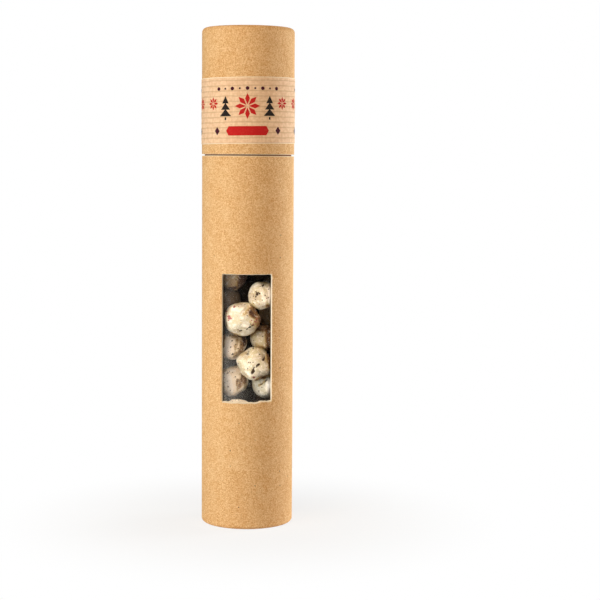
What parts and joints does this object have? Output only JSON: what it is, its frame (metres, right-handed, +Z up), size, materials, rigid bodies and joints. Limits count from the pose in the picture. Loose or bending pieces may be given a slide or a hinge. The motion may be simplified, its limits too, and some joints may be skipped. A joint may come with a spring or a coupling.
{
  "type": "paper tube box",
  "caption": "Tall round kraft paper tube box with a film-covered window in its body, a lift-off cap with a paper band, and coated round sweets inside.",
  "frame": {"origin": "on the tube's axis, on the surface that the tube stands on", "axes": "+Z up the tube, -Y through the middle of the window, +X to the right of someone who faces the window"},
  "size_m": [0.0508, 0.051, 0.27],
  "materials": {
    "body_kraft": "matte speckled kraft paper over wound board",
    "cap_kraft": "matte speckled kraft paper over wound board",
    "base_board": "matte kraft board",
    "cap_board": "matte kraft board",
    "neck_board": "matte wound board",
    "clear_film": "clear gloss film",
    "band_paper": "matte ribbed kraft paper with a plain printed ornament",
    "sweet_coating": "satin cream sugar coating with dark specks"
  },
  "bodies": {
    "tube": {"body_tube": "body_kraft", "base_disc": "base_board", "neck_liner": "neck_board", "window_film": "clear_film", "treat_01": "sweet_coating", "treat_02": "sweet_coating", "treat_03": "sweet_coating", "treat_04": "sweet_coating", "treat_05": "sweet_coating", "treat_06": "sweet_coating", "treat_07": "sweet_coating", "treat_08": "sweet_coating", "treat_09": "sweet_coating", "treat_10": "sweet_coating", "treat_11": "sweet_coating", "treat_12": "sweet_coating", "treat_13": "sweet_coating", "treat_14": "sweet_coating", "treat_15": "sweet_coating", "treat_16": "sweet_coating", "treat_17": "sweet_coating", "treat_18": "sweet_coating", "treat_19": "sweet_coating", "treat_20": "sweet_coating", "treat_21": "sweet_coating", "treat_22": "sweet_coating", "treat_23": "sweet_coating", "treat_24": "sweet_coating", "treat_25": "sweet_coating", "treat_26": "sweet_coating", "treat_27": "sweet_coating", "treat_28": "sweet_coating", "treat_29": "sweet_coating", "treat_30": "sweet_coating", "treat_31": "sweet_coating", "treat_32": "sweet_coating", "treat_33": "sweet_coating", "treat_34": "sweet_coating", "treat_35": "sweet_coating", "treat_36": "sweet_coating"},
    "cap": {"cap_sleeve": "cap_kraft", "cap_disc": "cap_board", "label_band": "band_paper"}
  },
  "joints": [
    {"name": "cap_lift", "type": "slide", "parent": "tube", "child": "cap", "axis": [0, 0, 1], "range_m": [0, 0.08]}
  ]
}
